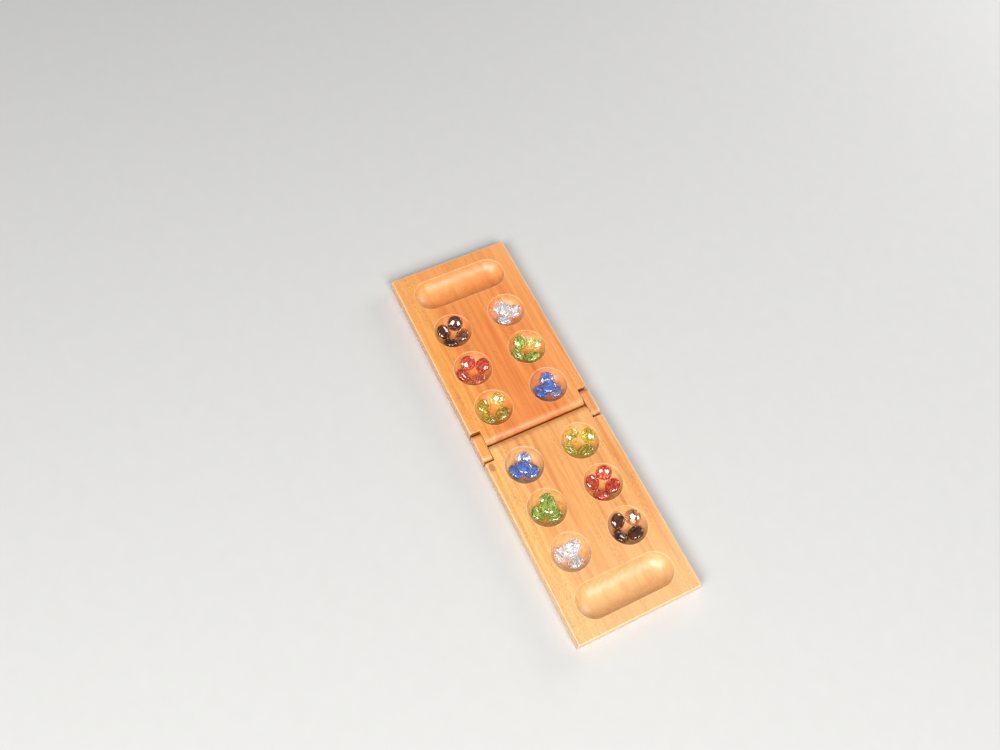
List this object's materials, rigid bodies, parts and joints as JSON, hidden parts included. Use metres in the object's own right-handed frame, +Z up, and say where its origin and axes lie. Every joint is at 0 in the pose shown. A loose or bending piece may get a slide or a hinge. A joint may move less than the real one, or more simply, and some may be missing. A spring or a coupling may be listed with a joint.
{
  "type": "mancala board",
  "caption": "Folding wooden mancala board: two hinged leaves with round pits of flat glass stones and a long store at each end.",
  "frame": {"origin": "middle of the open board, on the plane of its underside", "axes": "+X along the board towards the right leaf, +Y across it towards the back row, +Z up out of the pits"},
  "size_m": [0.44, 0.1366, 0.0191],
  "materials": {
    "leaf_wood": "satin varnish",
    "link_wood": "satin varnish",
    "pin_steel": "drawn wire",
    "glass_clear": "fire polished",
    "glass_green": "fire polished",
    "glass_blue": "fire polished",
    "glass_yellow": "fire polished",
    "glass_red": "fire polished",
    "glass_amber": "fire polished"
  },
  "bodies": {
    "left_leaf": {"left_leaf": "leaf_wood"},
    "hinge_links": {"front_hinge_link": "link_wood", "back_hinge_link": "link_wood", "front_left_hinge_pin": "pin_steel", "front_right_hinge_pin": "pin_steel", "back_left_hinge_pin": "pin_steel", "back_right_hinge_pin": "pin_steel"},
    "right_leaf": {"right_leaf": "leaf_wood"},
    "front_pit1_stones": {"front_pit1_stone_a": "glass_amber", "front_pit1_stone_b": "glass_amber", "front_pit1_stone_c": "glass_amber", "front_pit1_stone_d": "glass_amber"},
    "front_pit2_stones": {"front_pit2_stone_a": "glass_red", "front_pit2_stone_b": "glass_red", "front_pit2_stone_c": "glass_red", "front_pit2_stone_d": "glass_red"},
    "front_pit3_stones": {"front_pit3_stone_a": "glass_yellow", "front_pit3_stone_b": "glass_yellow", "front_pit3_stone_c": "glass_yellow", "front_pit3_stone_d": "glass_yellow"},
    "front_pit4_stones": {"front_pit4_stone_a": "glass_blue", "front_pit4_stone_b": "glass_blue", "front_pit4_stone_c": "glass_blue", "front_pit4_stone_d": "glass_blue"},
    "front_pit5_stones": {"front_pit5_stone_a": "glass_green", "front_pit5_stone_b": "glass_green", "front_pit5_stone_c": "glass_green", "front_pit5_stone_d": "glass_green"},
    "front_pit6_stones": {"front_pit6_stone_a": "glass_clear", "front_pit6_stone_b": "glass_clear", "front_pit6_stone_c": "glass_clear", "front_pit6_stone_d": "glass_clear"},
    "back_pit1_stones": {"back_pit1_stone_a": "glass_clear", "back_pit1_stone_b": "glass_clear", "back_pit1_stone_c": "glass_clear", "back_pit1_stone_d": "glass_clear"},
    "back_pit2_stones": {"back_pit2_stone_a": "glass_green", "back_pit2_stone_b": "glass_green", "back_pit2_stone_c": "glass_green", "back_pit2_stone_d": "glass_green"},
    "back_pit3_stones": {"back_pit3_stone_a": "glass_blue", "back_pit3_stone_b": "glass_blue", "back_pit3_stone_c": "glass_blue", "back_pit3_stone_d": "glass_blue"},
    "back_pit4_stones": {"back_pit4_stone_a": "glass_yellow", "back_pit4_stone_b": "glass_yellow", "back_pit4_stone_c": "glass_yellow", "back_pit4_stone_d": "glass_yellow"},
    "back_pit5_stones": {"back_pit5_stone_a": "glass_red", "back_pit5_stone_b": "glass_red", "back_pit5_stone_c": "glass_red", "back_pit5_stone_d": "glass_red"},
    "back_pit6_stones": {"back_pit6_stone_a": "glass_amber", "back_pit6_stone_b": "glass_amber", "back_pit6_stone_c": "glass_amber", "back_pit6_stone_d": "glass_amber"}
  },
  "joints": [
    {"name": "left_hinge", "type": "hinge", "parent": "left_leaf", "child": "hinge_links", "pos_m": [-0.00865, 0, 0.0085], "axis": [0, 1, 0], "range_deg": [-90, 90]},
    {"name": "right_hinge", "type": "hinge", "parent": "hinge_links", "child": "right_leaf", "pos_m": [0.00865, 0, 0.0085], "axis": [0, 1, 0], "range_deg": [-90, 90]},
    {"name": "front_pit1_lift", "type": "slide", "parent": "left_leaf", "child": "front_pit1_stones", "axis": [0, 0, 1], "range_m": [0, 0.06]},
    {"name": "front_pit2_lift", "type": "slide", "parent": "left_leaf", "child": "front_pit2_stones", "axis": [0, 0, 1], "range_m": [0, 0.06]},
    {"name": "front_pit3_lift", "type": "slide", "parent": "left_leaf", "child": "front_pit3_stones", "axis": [0, 0, 1], "range_m": [0, 0.06]},
    {"name": "front_pit4_lift", "type": "slide", "parent": "right_leaf", "child": "front_pit4_stones", "axis": [0, 0, 1], "range_m": [0, 0.06]},
    {"name": "front_pit5_lift", "type": "slide", "parent": "right_leaf", "child": "front_pit5_stones", "axis": [0, 0, 1], "range_m": [0, 0.06]},
    {"name": "front_pit6_lift", "type": "slide", "parent": "right_leaf", "child": "front_pit6_stones", "axis": [0, 0, 1], "range_m": [0, 0.06]},
    {"name": "back_pit1_lift", "type": "slide", "parent": "left_leaf", "child": "back_pit1_stones", "axis": [0, 0, 1], "range_m": [0, 0.06]},
    {"name": "back_pit2_lift", "type": "slide", "parent": "left_leaf", "child": "back_pit2_stones", "axis": [0, 0, 1], "range_m": [0, 0.06]},
    {"name": "back_pit3_lift", "type": "slide", "parent": "left_leaf", "child": "back_pit3_stones", "axis": [0, 0, 1], "range_m": [0, 0.06]},
    {"name": "back_pit4_lift", "type": "slide", "parent": "right_leaf", "child": "back_pit4_stones", "axis": [0, 0, 1], "range_m": [0, 0.06]},
    {"name": "back_pit5_lift", "type": "slide", "parent": "right_leaf", "child": "back_pit5_stones", "axis": [0, 0, 1], "range_m": [0, 0.06]},
    {"name": "back_pit6_lift", "type": "slide", "parent": "right_leaf", "child": "back_pit6_stones", "axis": [0, 0, 1], "range_m": [0, 0.06]}
  ]
}
